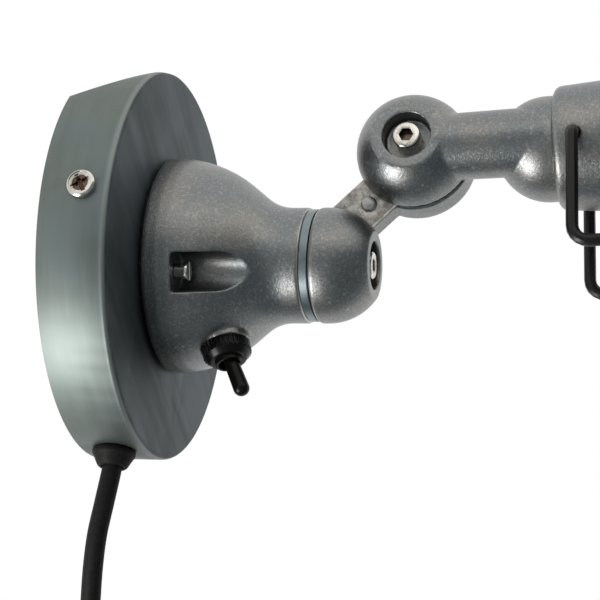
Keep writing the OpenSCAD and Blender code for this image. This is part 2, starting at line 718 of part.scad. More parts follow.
rivet_hole_r = 1.5 + run_gap;
module link_rivet() color("silver") arm_plane() translate([rivet_x, rivet_r, 0]) {
    cylinder(r = rivet_d / 2, h = 0.5);
    translate([0, 0, 0.5]) cylinder(r1 = rivet_d / 2, r2 = rivet_d / 2 - 0.7, h = 0.4);
    translate([0, 0, -plate_t - 5.8]) cylinder(r = 1.5, h = plate_t + 5.8);
}

tilt_shank = tilt_floor + spring_t - disc_back + back_h - nut_pocket + nut_h;
module tilt_screw() color("gainsboro") tilt_axis() translate([0, 0, tilt_floor + spring_t])
    socket_screw(tilt_shank);

module tilt_washer() color("silver") tilt_axis() translate([0, 0, tilt_floor])
    spring_washer(head_r, bore_r, spring_t - run_gap);

module tilt_nut() color("silver") tilt_axis()
    translate([0, 0, disc_back - back_h + nut_pocket - nut_h - run_gap])
        hex_nut(nut_af, nut_h, bore_r);

// Casting of half ball, neck and cup in one. The neck leaves the near side of the ball and runs
// into the near side of the cup, and is relieved where it passes the disc.
cup_wall = 2.6;
neck_bore = 4;
module head_arm() color("darkgray") difference() {
    union() {
        tilt_axis() intersection() {
            sphere(r = ball_r);
            translate([-ball_r, -ball_r, run_gap]) cube([2 * ball_r, 2 * ball_r, ball_h - run_gap]);
        }
        difference() {
            head_turned() translate([head_side - neck_side, head_drop + neck_up, 4])
                cylinder(r1 = arm_neck_r - 0.15, r2 = arm_neck_r + 0.25, h = cup_at - 4);
            tilt_axis() translate([0, 0, -2 * ball_r + run_gap])
                cylinder(r = disc_r + 0.9, h = 2 * ball_r);
            tilt_axis() translate([0, 0, tilt_floor]) cylinder(r = recess_r + 1, h = ball_r);
        }
        head_turned() translate([0, 0, cup_at]) {
            intersection() {
                sphere(r = cup_r);
                translate([-cup_r, -cup_r, -cup_r]) cube([2 * cup_r, 2 * cup_r, cup_r + past / 10]);
            }
            cylinder(r = cup_r, h = spigot_end - cup_at);
        }
    }
    tilt_axis() {
        translate([0, 0, tilt_floor]) cylinder(r = recess_r, h = ball_r);
        translate([0, 0, -past]) cylinder(r = bore_r, h = ball_h);
    }
    head_turned() {
        translate([0, 0, cup_at]) sphere(r = cup_r - cup_wall);
        translate([0, 0, cup_at]) cylinder(r = cup_r - cup_wall, h = spigot_end - cup_at + past);
        translate([head_side - neck_side, head_drop + neck_up, ball_r + 4])
            cylinder(r = neck_bore, h = cup_at - ball_r - 4);
        for (side = [0, 180]) rotate([0, 0, side]) translate([0, 0, collar_screw_at])
            rotate([-90, 0, 0]) cylinder(r = 1.5 + seat_gap, h = cup_r + past);
    }
}

// Collar over the cup's spigot. It widens to its open end and has the guard's two hinge holes.
collar_screw_at = collar_at + 4.5;
collar_edge = 2.6;
collar_bore_r = cup_r + seat_gap;
holder_room_r = holder_r + 0.2;
module lamp_collar() color("darkgray") head_turned() difference() {
    translate([0, 0, collar_at]) turned(concat(
        [for (a = [0:15:90]) [collar_edge * (1 - cos(a)), collar_r - collar_edge * (1 - sin(a))]],
        [[collar_len - 0.6, collar_front_r], [collar_len, collar_front_r - 0.6]]));
    translate([0, 0, collar_at - past]) cylinder(r = collar_bore_r, h = collar_len);
    translate([0, 0, spigot_end]) cylinder(r = holder_room_r, h = collar_len);
    translate([-2 * collar_r, -guard_hole_drop, guard_at]) rotate([0, 90, 0])
        cylinder(r = hole_r, h = 4 * collar_r);
    for (side = [0, 180]) rotate([0, 0, side]) translate([0, 0, collar_screw_at])
        rotate([-90, 0, 0]) cylinder(r = 1.5 + seat_gap, h = 2 * collar_r);
}

module collar_screws() color("dimgray") head_turned() for (side = [0, 180])
    rotate([0, 0, side]) translate([0, collar_bore_r - 1.8, collar_screw_at]) rotate([-90, 0, 0])
        difference() {
            cylinder(r = 1.5, h = collar_r - collar_bore_r + 1.4);
            translate([0, 0, collar_r - collar_bore_r]) hexagon(1.5, 3);
        }

// Lampholder: a round body in the collar and a skirt that carries the ring
module lampholder() color("ivory") head_turned() difference() {
    union() {
        translate([0, 0, holder_at]) cylinder(r = holder_r, h = collar_end - holder_at);
        translate([0, 0, holder_at]) cylinder(r = skirt_r, h = skirt_end - holder_at);
    }
    translate([0, 0, cap_at - 3]) cylinder(r = shell_r, h = skirt_end);
    for (side = [-1, 1]) translate([side * 9, 0, holder_at - past]) cylinder(r = 1.8, h = 6);
}

// Screw shell and the two contacts behind it
shell_r = cap_bore_r + 0.5;
contact_at = 9;
module holder_contacts() color("goldenrod") head_turned() {
    translate([0, 0, cap_at + 2]) tube(shell_r - run_gap, cap_bore_r, skirt_end - cap_at - 6);
    translate([-2.5, -2.5, cap_at - 3]) cube([5, 5, 2.4]);
    for (side = [-1, 1]) translate([side * contact_at, 0, holder_at - past / 2])
        cylinder(r = 1.7, h = 4);
}

ribs = 24;
shade_ring_h = 6.5;
module shade_ring() color("#1c1a18") head_turned() translate([0, 0, ring_at]) difference() {
    union() {
        cylinder(r = collar_front_r - 1.4, h = shade_ring_h);
        cylinder(r = collar_front_r - 0.4, h = 1.4);
        translate([0, 0, 1.4]) knurled(ribs, collar_front_r - 0.5, 0.9, 4.2);
    }
    translate([0, 0, -past]) cylinder(r = skirt_r + seat_gap, h = shade_ring_h + 2 * past);
}

// Half round reflector, closed at both ends and open below, with a hemmed lower edge. Its back
// has a full ring that the collar and the shade ring clamp.
hood_back_round = 14;
hood_front_round = 24;
function hood_outline(inset) = concat([[inset, 0], [inset, hood_r - hood_back_round]],
    [for (p = arc(hood_back_round, hood_r - hood_back_round, hood_back_round - inset, 180, 90)) p],
    [for (p = arc(hood_len - hood_front_round, hood_r - hood_front_round,
        hood_front_round - inset, 90, 0)) p], [[hood_len - inset, 0]]);
module hood_solid(inset) rotate_extrude(angle = 180)
    polygon([for (p = hood_outline(inset)) [p[1], p[0]]]);

module reflector() color("gainsboro") head_turned() translate([0, 0, hood_at]) difference() {
    union() {
        difference() {
            hood_solid(0);
            translate([0, -past, 0]) hood_solid(hood_t);
            hood_solid(hood_t);
        }
        tube(collar_front_r - 0.8, skirt_r + seat_gap, hood_t);
        for (side = [-1, 1]) translate([side * (hood_r - hem_r + 0.3), 0, hood_back_round + 1])
            cylinder(r = hem_r, h = hood_len - hood_back_round - hood_front_round - 2, $fn = 32);
    }
    translate([0, 0, -past]) cylinder(r = skirt_r + seat_gap, h = 3 * past);
}

// Screw cap of the bulb, with rounded threads
threads = 5;
thread_at = 4.6;
thread_pitch = 3.6;
thread_root_r = 12.2;
cap_tip_r = 4.5;
cap_cone_r = 8.5;
module bulb_cap() color("silver") head_turned() translate([0, 0, cap_at]) difference() {
    turned(concat([[0, cap_tip_r], [0.8, cap_tip_r + 0.4], [1.2, cap_cone_r], [4, thread_root_r]],
        [for (i = [0:threads - 1]) each [[thread_at + i * thread_pitch, thread_root_r],
            [thread_at + (i + 0.5) * thread_pitch, cap_r]]],
        [[cap_end - cap_at, cap_r]]));
    translate([0, 0, 5]) cylinder(r = cap_r - 2.2, h = cap_end - cap_at);
}

// Pear shaped glass, a thin shell that is open towards its cap
module bulb_glass() color("#fff3cfa0") head_turned() translate([0, 0, cap_end]) difference() {
    turned(bulb_outline(0, run_gap));
    turned(bulb_outline(bulb_wall, -past));
}
bulb_wall = 1;
function bulb_outline(inset, start) = concat([[start, cap_r - 0.3 - inset], [5, cap_r - inset]],
    [for (p = arc_blend(bulb_r, bulb_len - bulb_r, cap_r)) [p[0], p[1] - inset]],
    [for (a = [100:-10:10]) [bulb_len - bulb_r + (bulb_r - inset) * cos(a),
        (bulb_r - inset) * sin(a)]],
    [[bulb_len - inset, 0.2]]);
bulb_r = bulb_d / 2;
// The waist of the glass, a smooth step from the cap's radius to the ball's
function arc_blend(r, at, from) = [for (i = [1:6]) let (t = i / 7, x = 5 + (at - r * 0.34 - 5) * t)
    [x, from + (r * 0.94 - from) * t * t * (3 - 2 * t)]];

// Wire guard: one wire from the near hinge hole round the front and back to the far hole, and
// cross wires welded below it
guard_out = hole_side + 1.6 + wire_r;
guard_path = [[guard_at, -guard_hole_drop, collar_bore_r + 1],
    [guard_at, -guard_hole_drop, guard_out], [guard_at, -guard_drop, guard_half],
    [guard_end - 4, -guard_drop, guard_half], [guard_end, -wire_r - 1, guard_half],
    [guard_end, -wire_r - 1, -guard_half], [guard_end - 4, -guard_drop, -guard_half],
    [guard_at, -guard_drop, -guard_half], [guard_at, -guard_hole_drop, -guard_out],
    [guard_at, -guard_hole_drop, -collar_bore_r - 1]];
hook_r = guard_out - hole_side;
guard_bends = concat([hook_r], [for (i = [1:6]) bend_r], [hook_r]);
module guard_frame() color("#141312") head_frame() {
    sweep(bent(guard_path, guard_bends, 5), wire_r, 12);
    for (side = [-1, 1]) translate([guard_at, -guard_hole_drop, side * (collar_bore_r + 0.5)])
        rotate([side < 0 ? 180 : 0, 0, 0]) cylinder(r = pin_wire_r, h = hole_side - collar_bore_r);
    for (i = [1:cross_wires]) let (s = guard_at + (guard_end - guard_at) * i / (cross_wires + 1),
        y = -guard_drop - wire_r - cross_r + 0.6)
            rod([s, y, -guard_half - wire_r], [s, y, guard_half + wire_r], cross_r);
}

// Cord and coil. The coil spirals in on the layer at the wall and out again on the next one.
cord_sides = 8;
coil_sides = 6;
coil_steps = 24;
half_turns = coil_loops * 180;
function coil_radius(a) = coil_r - coil_pitch * (a < half_turns ? a : 2 * half_turns - a) / 360;
function coil_layer(a) = coil_x + coil_pitch * min(1, max(0, (a - half_turns + 90) / 180));
coil_turns = [for (a = [0:360 / coil_steps:coil_loops * 360])
    [coil_layer(a), coil_y - coil_radius(a) * cos(a), coil_z - coil_radius(a) * sin(a)]];
end_x = coil_x + coil_pitch;
end_y = coil_y - coil_r;
function ease(t) = t * t * (3 - 2 * t);
coil_end = concat([for (t = [0.1:0.15:1]) [end_x + (plug_x - end_x) * ease(t), end_y,
    coil_z + (plug_top + cord_d + 1 - coil_z) * t]], [[plug_x, end_y, plug_top + cord_d],
    [plug_x, end_y, plug_top]]);
coil_path = concat([[coil_x, end_y, coil_top]], coil_turns, coil_end);
// Least distance between two points of the coil that are more than a quarter loop apart
coil_free = min([for (i = [0:len(coil_turns) - 1], j = [i + coil_steps / 4:len(coil_turns) - 1])
    if (j < len(coil_turns)) norm(coil_turns[i] - coil_turns[j])]) - cord_d;
function way_length(p) = [for (i = [1:len(p) - 1]) 1] * [for (i = [1:len(p) - 1]) norm(p[i] - p[i - 1])];
echo(coil_least_gap = coil_free, cord_length = way_length(cord_route) + way_length(coil_path));

module cord() color("#1d1d1b") sweep(cord_route, cord_r, cord_sides);
module cord_coil() color("#1d1d1b") sweep(coil_path, cord_r, coil_sides);

// Strap round the bundle at the top of the coil
tie_w = 9;
tie_t = 0.9;
bundle_in = coil_radius(half_turns) - cord_r - soft_gap;
bundle_out = coil_r + cord_r + soft_gap;
module cord_tie() color("#2b2926") difference() {
    tie_block(tie_t, tie_w, 3);
    tie_block(0, tie_w + 2 * past, 2.1);
}
module tie_block(grow, width, corner) translate([coil_x - cord_r - soft_gap - grow,
    coil_y - width / 2, coil_z + bundle_in - grow]) rotate([-90, 0, 0]) mirror([0, 1, 0])
        linear_extrude(width) rounded(coil_pitch + cord_d + 2 * (soft_gap + grow),
            bundle_out - bundle_in + 2 * grow, corner);
module rounded(w, h, r) union() {
    translate([r, 0]) square([w - 2 * r, h]);
    translate([0, r]) square([w, h - 2 * r]);
    for (x = [r, w - r], y = [r, h - r]) translate([x, y]) circle(r = r, $fn = 32);
}

// Straight moulded plug with two round pins, hanging from the cord's end
pin_r = 2.4;
pin_spacing = 19;
pin_len = 19;
root_len = 6;
module plug_place() translate([plug_x, end_y, plug_top]) rotate([180, 0, 0]) children();
module plug_body() color("#1f1e1c") plug_place() difference() {
    turned(concat([[0, cord_r + 1.2], [0.8, cord_r + 1.6], [17, cord_r + 3.2], [20, cord_r + 4.6]],
        [for (a = [0:15:90]) [26 - 5 * cos(a), plug_r - 5 + 5 * sin(a)]],
        [[plug_len - 1, plug_r], [plug_len, plug_r - 1]]));
    for (side = [-1, 1]) translate([side * (plug_r - 1.2), -2.7, plug_len - 13])
        translate([side > 0 ? 0 : -4, 0, 0]) cube([4, 5.4, 14]);
    for (side = [-1, 1]) translate([0, side * pin_spacing / 2, plug_len - root_len - 0.1])
        cylinder(r = pin_r - 0.4 + run_gap, h = root_len + past);
}
module plug_pins() color("gainsboro") plug_place() {
    for (side = [-1, 1]) translate([0, side * pin_spacing / 2, plug_len]) {
        translate([0, 0, -root_len]) cylinder(r = pin_r - 0.4, h = root_len + past);
        cylinder(r = pin_r, h = pin_len - pin_r);
        translate([0, 0, pin_len - pin_r]) sphere(r = pin_r);
    }
    for (side = [-1, 1]) translate([side > 0 ? plug_r - 1.15 : -plug_r + 0.55, -2.2, plug_len - 12.9])
        cube([0.6, 4.4, 12]);
}

wall_bracket();
base_drum();
rim_screws();
cord_gland();
terminal_block();
terminal_screws();
bell_mount();
bell_screws();
bell_nuts();
switch_body();
switch_nut();
switch_lever();
swivel_ring();
stop_pin();
swivel_knuckle();
swivel_screw();
swivel_washer();
swivel_nut();
link_plate();
link_rivet();
tilt_screw();
tilt_washer();
tilt_nut();
head_arm();
lamp_collar();
collar_screws();
lampholder();
holder_contacts();
shade_ring();
reflector();
bulb_cap();
bulb_glass();
guard_frame();
cord();
cord_coil();
cord_tie();
plug_body();
plug_pins();
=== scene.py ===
"""The looks of the adjustable wall lamp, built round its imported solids."""

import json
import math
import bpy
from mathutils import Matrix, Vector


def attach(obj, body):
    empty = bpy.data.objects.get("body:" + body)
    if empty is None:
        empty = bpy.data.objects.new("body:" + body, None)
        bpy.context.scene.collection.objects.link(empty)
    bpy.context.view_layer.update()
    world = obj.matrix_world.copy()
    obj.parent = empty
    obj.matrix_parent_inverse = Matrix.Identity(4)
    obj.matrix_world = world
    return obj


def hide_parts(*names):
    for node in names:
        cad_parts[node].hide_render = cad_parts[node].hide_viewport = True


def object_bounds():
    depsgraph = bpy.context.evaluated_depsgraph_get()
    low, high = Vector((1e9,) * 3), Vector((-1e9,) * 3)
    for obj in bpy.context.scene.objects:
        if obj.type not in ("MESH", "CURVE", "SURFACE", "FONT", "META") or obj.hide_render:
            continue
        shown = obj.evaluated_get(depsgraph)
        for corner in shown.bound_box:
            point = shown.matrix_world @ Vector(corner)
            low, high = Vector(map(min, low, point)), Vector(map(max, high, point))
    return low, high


bl_info = {
    "name": "Adjustable wall lamp",
    "version": (1, 0, 0),
    "blender": (4, 5, 0),
    "location": "View3D > Sidebar > Wall lamp",
    "description": "Dresses the packed wall lamp with soft castings, worn metal and a rubber cord",
    "category": "Object",
}

import bpy
from bpy.props import FloatProperty, FloatVectorProperty, IntProperty, PointerProperty
from mathutils import Vector

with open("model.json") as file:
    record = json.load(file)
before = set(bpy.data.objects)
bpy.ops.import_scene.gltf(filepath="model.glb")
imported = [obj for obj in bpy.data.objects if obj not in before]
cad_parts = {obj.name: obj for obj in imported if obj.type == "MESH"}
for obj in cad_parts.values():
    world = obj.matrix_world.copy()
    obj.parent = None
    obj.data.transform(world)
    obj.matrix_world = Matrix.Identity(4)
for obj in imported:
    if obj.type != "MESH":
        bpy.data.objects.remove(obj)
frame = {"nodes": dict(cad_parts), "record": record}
SOLID_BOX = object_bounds()
SLOT_OF = {s["node"]: s["material_slot"] for s in frame["record"]["subparts"]}
BODY_OF = {n: b for b, ns in frame["record"]["behaviour"]["bodies"].items() for n in ns}
MM = 0.001

# Sockets of the colour mix node, which carries one set of them for each kind of data
MIX_FACTOR, MIX_A, MIX_B, MIX_RESULT = 0, 6, 7, 2

# Stretches along the base axis, in metres, where a painted highlight runs round the castings as a
# thin light line
PAINTED_HIGHLIGHT_LINES = ((0.0226, 0.0234), (0.0667, 0.0674), (0.0701, 0.0710))

# Stretches along the base axis, in metres: the drum's fillet, made lighter with a painted
# highlight, and the start of its face
DRUM_FILLET_HIGHLIGHT, DRUM_FACE = (0.0188, 0.0204), (0.0207, 0.0213)

# The screws whose recess is seen and gets painted shade: a point on the axis, the way that the
# head faces, the height of the head's top above that point, and the recess's reach from the axis
# and its depth
ROLL, RIM_TURN = math.radians(20), math.radians(22.2)
RECESSES = (
    ((0.09716, 0.01283, 0.03524), (0, -math.cos(ROLL), math.sin(ROLL)), 0.0146, 0.0024, 0.0002),
    ((0, 0, 0), (1, 0, 0), 0.08698, 0.0024, 0.0002),
    ((0.0126, 0, 0), (0, -math.cos(RIM_TURN), math.sin(RIM_TURN)), 0.0632, 0.0026, 0.0007),
    ((0.0126, 0, 0), (0, math.cos(RIM_TURN), -math.sin(RIM_TURN)), 0.0632, 0.0026, 0.0007),
)

# Width of broken edges in metres, on nodes that don't follow the panel's value
EDGE_WIDTHS = {
    "base_drum": 0.0002, "cord_gland": 0.0004, "terminal_block": 0.0003, "swivel_ring": 0.0003,
    "switch_body": 0.0002, "switch_nut": 0.00015, "switch_lever": 0.0002, "link_rivet": 0.0003,
    "lampholder": 0.0003, "shade_ring": 0.0002, "reflector": 0.0002, "bulb_cap": 0.0002,
    "bulb_glass": 0.0001, "guard_frame": 0.0001, "plug_body": 0.0006, "plug_pins": 0.0002,
}
# Least angle in degrees at which an edge is broken. Round nodes have only their facets below it
EDGE_ANGLE, ROUND_EDGE_ANGLE = 32, 60
ROUND_NODES = ("bulb_glass", "guard_frame")
MERGE_REACH = 0.000002

# The cord's centreline in millimetres, from inside the drum to the coil
ROUTE = [(10.5, -18, -44.5), (10.5, -22.5, -55.7), (10.5, -25.1, -62.1), (9, -27.9, -72.5),
         (7.4, -29.8, -82), (6.4, -30.8, -92), (5.8, -31.2, -102), (5.2, -31.3, -114),
         (4.6, -31.1, -127), (4.5, -31, -141), (4.5, -31, -155.8)]
ROUTE_STEPS, COIL_STEPS, DROP_STEPS = 6, 48, 13
COIL_MIDDLE, COIL_RADIUS, COIL_PITCH, COIL_LOOPS = (4.5, 17.0, -162.0), 48.0, 6.9, 8
LAYER_CHANGE = 0.5
PLUG_X, PLUG_TOP, SLEEVE_RISE, CORD_IN_PLUG = 20.0, -208.0, 6.2, 4

# The stage, in metres and degrees
CAMERA_PLACE, CAMERA_TURN = (0.2295, -0.62874, -0.00626), (89.61, -0.02, 14.8)
SENSOR_WIDTH, CAMERA_REACH = 36, (0.01, 20)
FLOOR_RADIUS, FLOOR_X, FLOOR_DROP = 0.85, 0.12, 0.012
KEY_PLACE, KEY_AIM, KEY_SIZE, KEY_WATTS = (-0.143, -0.237, -0.22), (0.08, 0, 0.01), 0.12, 1.0
ROOM_COLOUR, ROOM_LIGHT = (0.96, 0.98, 1.0), 0.55

# The hood that metal mirrors is part of a sphere. Its turns go from the photographed side, 0,
# to the end of the arm, 90. The other values are parts of its radius
HOOD_MIDDLE, HOOD_RADIUS = (0.09, 0, 0), 0.55
HOOD_TURNS, HOOD_CROWN, HOOD_BOWL, HOOD_BACK = (-32, 125), 0.95, -0.80, 0.50
HOOD_BAND = (1.35, 1.32, 1.26)


def rgb(code):
    """Linear colour of a hex code such as 8a8782."""
    parts = [int(code[i:i + 2], 16) / 255 for i in (0, 2, 4)]
    return tuple(c / 12.92 if c <= 0.04045 else ((c + 0.055) / 1.055) ** 2.4 for c in parts)


# Materials

class Tone:
    """One socket of a node, so that shader maths reads as plain maths."""

    def __init__(self, finish, socket):
        self.finish, self.socket = finish, socket

    def _maths(self, operation, *values):
        return self.finish.add("ShaderNodeMath", {"operation": operation}, *values)

    def __add__(self, other):
        return self._maths("ADD", self, other)

    def __sub__(self, other):
        return self._maths("SUBTRACT", self, other)

    def __rsub__(self, other):
        return self._maths("SUBTRACT", other, self)

    def __mul__(self, other):
        return self._maths("MULTIPLY", self, other)

    def __pow__(self, other):
        return self._maths("POWER", self, other)

    def top(self, other):
        return self._maths("MAXIMUM", self, other)

    def ramp(self, low, high, to_low=0.0, to_high=1.0):
        """Goes smoothly from to_low to to_high while the value goes from low to high."""
        return self.finish.add("ShaderNodeMapRange", {"interpolation_type": "SMOOTHSTEP"},
                               self, low, high, to_low, to_high)


class Finish:
    """A material under construction."""

    def __init__(self, name):
        self.material = bpy.data.materials.new(name)
        self.material.use_nodes = True
        self.tree = self.material.node_tree
        self.shader = self.tree.nodes["Principled BSDF"]
        place = self.tree.nodes.new("ShaderNodeTexCoord").outputs["Object"]
        self.place = Tone(self, place)

    def link(self, value, socket):
        """Joins a tone to a socket or sets the socket to a constant. None leaves it alone."""
        if isinstance(value, Tone):
            self.tree.links.new(value.socket, socket)
        elif value is not None:
            is_colour = socket.type == "RGBA" and len(value) == 3
            socket.default_value = (*value, 1) if is_colour else value

    def add(self, kind, settings, *values, out=0, **named):
        """A node of any kind. Its settings come first, then its sockets by order or by name."""
        node = self.tree.nodes.new(kind)
        for key, value in settings.items():
            setattr(node, key, value)
        for socket, value in zip(node.inputs, values):
            self.link(value, socket)
        for key, value in named.items():
            self.link(value, node.inputs[key.replace("_", " ")])
        return Tone(self, node.outputs[out])

    def noise(self, scale, detail=3.0, rough=0.5, at=None):
        return self.add("ShaderNodeTexNoise", {}, Vector=at or self.place, Scale=scale,
                        Detail=detail, Roughness=rough)

    def split(self):
        node = self.add("ShaderNodeSeparateXYZ", {}, self.place).socket.node
        return [Tone(self, o) for o in node.outputs]

    def join(self, x, y, z):
        return self.add("ShaderNodeCombineXYZ", {}, x, y, z)

    def stretched(self, *scales):
        """The place, stretched along each axis."""
        return self.join(*[c * s for c, s in zip(self.split(), scales)])

    def mix(self, a, b, amount):
        """Colour a, going to b as the amount goes to 1."""
        node = self.tree.nodes.new("ShaderNodeMix")
        node.data_type = "RGBA"
        self.link(amount, node.inputs[MIX_FACTOR])
        self.link(a, node.inputs[MIX_A])
        self.link(b, node.inputs[MIX_B])
        return Tone(self, node.outputs[MIX_RESULT])

    def bump(self, height, distance, strength):
        return self.add("ShaderNodeBump", {}, Strength=strength, Distance=distance, Height=height)

    def done(self, colour, rough, metal=0.0, normal=None, **fixed):
        self.link(colour, self.shader.inputs["Base Color"])
        self.link(rough, self.shader.inputs["Roughness"])
        self.link(metal, self.shader.inputs["Metallic"])
        self.link(normal, self.shader.inputs["Normal"])
        for key, value in fixed.items():
            self.shader.inputs[key.replace("_", " ")].default_value = value
        return self.material


def worn_edge_and_hollow_shade(f, colour, light, dark, amount):
    """Rubs convex edges lighter, which is wear, and darkens hollow ones with painted shade."""
    point = f.add("ShaderNodeNewGeometry", {}, out="Pointiness")
    colour = f.mix(colour, rgb(light), point.ramp(0.53, 0.62) * amount)
    # Painted shade: hollows and creases darkened as if shade fell in them
    return f.mix(colour, rgb(dark), point.ramp(0.47, 0.40) * amount)


def tumbled_casting(name, warm, cool, rough):
    """Raw cast metal that was tumbled: a sparkling fine grain, a faint cloud, rubbed edges,
    painted shade in its hollows and painted highlight lines round its edges.
    """
    f = Finish(name)
    grain = f.noise(2300, 3, 0.65)
    fleck = f.noise(1150, 3, 0.6)
    cloud = f.noise(60, 3, 0.5)
    colour = f.mix(rgb(cool), rgb(warm), (cloud * 0.8 + fleck * 0.2).ramp(0.38, 0.64))
    colour = f.mix(colour, rgb("b3b3b0"), fleck.ramp(0.50, 0.70) * 0.40)
    colour = f.mix(colour, rgb("424445"), grain.ramp(0.48, 0.30) * 0.50)
    # Worn edges lighter, hollows darkened with painted shade
    colour = worn_edge_and_hollow_shade(f, colour, "c4c2bc", "2a2c2d", 0.55)
    # Painted highlight: thin light lines round the castings' edges
    along = f.split()[0]
    for start, end in PAINTED_HIGHLIGHT_LINES:
        middle, half = (start + end) / 2, (end - start) / 2
        line = ((along - middle) ** 2) ** 0.5
        colour = f.mix(colour, rgb("d5d4cf"), line.ramp(half, half * 0.4) * 0.6)
    height = grain * 0.5 + fleck * 0.5
    roughness = fleck * 0.10 + grain * 0.12 + (rough - 0.10)
    return f.done(colour, roughness, 1.0, f.bump(height, 0.00011, 0.9))


def brushed_drum(name):
    """Patinated sheet: finely brushed round the rim, wiped softly over the face, with a painted
    highlight on the fillet between them.
    """
    f = Finish(name)
    x, y, z = f.split()
    fine = f.noise(1.0, 3, 0.6, at=f.join(x * 2400, y * 34, z * 34))
    wide = f.noise(1.0, 2, 0.5, at=f.join(x * 240, y * 40, z * 40))
    cloud = f.noise(30, 3, 0.5)
    brushing = (fine * 0.2 + wide * 0.3 + cloud * 0.5).ramp(0.38, 0.64)
    rim = f.mix(rgb("6a716d"), rgb("767e7a"), brushing)
    teal = f.noise(17, 2, 0.5).ramp(0.48, 0.66)
    rim = f.mix(rim, rgb("6a7b80"), teal * 0.4)
    smear = f.noise(1.0, 3, 0.55, at=f.join(x * 10, (y + z) * 130, (y - z) * 16))
    face = f.mix(rgb("484d4f"), rgb("62676a"), (smear * 0.5 + cloud * 0.5).ramp(0.36, 0.66))
    face = f.mix(face, rgb("525e64"), teal * 0.4)
    on_face = x.ramp(*DRUM_FACE)
    # Painted highlight: the fillet between rim and face made lighter
    rim = f.mix(rim, rgb("949a97"), x.ramp(*DRUM_FILLET_HIGHLIGHT) * 0.6)
    colour = f.mix(rim, face, on_face)
    roughness = fine * 0.06 + wide * 0.05 + 0.47 + on_face * 0.08
    height = fine * (1 - on_face) + smear * on_face
    return f.done(colour, roughness, 1.0, f.bump(height, 0.00002, 0.2))


def painted_recess_shade(f, colour):
    """Painted shade, a dark warm brown, in the recesses of the screws that are seen."""
    for start, way, top, reach, depth in RECESSES:
        place = f.add("ShaderNodeVectorMath", {"operation": "SUBTRACT"}, f.place, start)
        height = f.add("ShaderNodeVectorMath", {"operation": "DOT_PRODUCT"}, place, way,
                       out="Value")
        far = f.add("ShaderNodeVectorMath", {"operation": "DOT_PRODUCT"}, place, place,
                    out="Value")
        inside = (far - height * height).ramp(reach ** 2, (reach * 0.94) ** 2)
        sunk = height.ramp(top - depth, top - depth - 0.0002)
        # Painted shade: the floor of each recess darkened
        colour = f.mix(colour, rgb("4a372c"), inside * sunk * 0.9)
    return colour


def turned_metal(name, base, light, rough):
    """Plated or machined metal with fine scratches, a slightly uneven tone, rubbed edges, and
    painted shade in its hollows and screw recesses.
    """
    f = Finish(name)
    scratch = f.noise(1.0, 3, 0.6, at=f.stretched(5200, 700, 1500))
    cloud = f.noise(150, 3, 0.5)
    colour = f.mix(rgb(base), rgb(light), (scratch * 0.4 + cloud * 0.6).ramp(0.38, 0.62))
    # Worn edges lighter, hollows and screw recesses darkened with painted shade
    colour = painted_recess_shade(f, worn_edge_and_hollow_shade(f, colour, "e6e4df", "2a1f18", 0.85))
    return f.done(colour, cloud * 0.12 + (rough - 0.05), 1.0, f.bump(scratch, 0.00003, 0.3))


def mottled_plate(name):
    """Steel plate from the mill, dull and blotched."""
    f = Finish(name)
    blotch = f.noise(420, 5, 0.65)
    speck = f.noise(1900, 3, 0.6)
    colour = f.mix(rgb("84817b"), rgb("cfccc4"), (blotch * 0.7 + speck * 0.3).ramp(0.36, 0.66))
    # Worn edges lighter, hollows darkened with painted shade
    colour = worn_edge_and_hollow_shade(f, colour, "c9c7c0", "2c2a28", 0.6)
    height = blotch * 0.6 + speck * 0.4
    return f.done(colour, blotch * 0.2 + 0.36, 0.9, f.bump(height, 0.00008, 0.5))


def moulded(name, colour, light, rough, grain, gloss, coat=0.0, scale=900):
    """Plastic, rubber, enamel or glazed china: an even tone with a faint grain and dust."""
    f = Finish(name)
    fine = f.noise(scale, 3, 0.55)
    dust = f.noise(60, 4, 0.6).ramp(0.5, 0.75)
    tone = f.mix(rgb(colour), rgb(light), fine.ramp(0.35, 0.7) * 0.5 + dust * 0.3)
    roughness = fine * 0.10 + dust * 0.08 + (rough - 0.07)
    return f.done(tone, roughness, 0.0, f.bump(fine, grain, 0.5), Coat_Weight=coat,
                  Specular_IOR_Level=gloss)


def spun_reflector(name):
    """Spun sheet: fine streaks along it outside, the same sheet inside."""
    f = Finish(name)
    cloud = f.noise(30, 4, 0.6)
    streak = f.noise(1.0, 3, 0.6, at=f.stretched(3200, 260, 260))
    colour = f.mix(rgb("6d7070"), rgb("a3a29d"), (streak * 0.5 + cloud * 0.5).ramp(0.38, 0.62))
    # Worn edges lighter, hollows darkened with painted shade
    colour = worn_edge_and_hollow_shade(f, colour, "cfcec9", "3a3b3b", 0.5)
    roughness = streak * 0.12 + cloud * 0.08 + 0.28
    return f.done(colour, roughness, 1.0, f.bump(streak, 0.00004, 0.4))


def frosted_bulb(name):
    """Frosted glass that passes some of the light."""
    f = Finish(name)
    haze = f.noise(900, 2, 0.5)
    colour = f.mix(rgb("f3efe6"), rgb("fbf9f4"), haze)
    return f.done(colour, haze * 0.08 + 0.30, 0.0, f.bump(haze, 0.00002, 0.2),
                  Transmission_Weight=0.35, IOR=1.45)


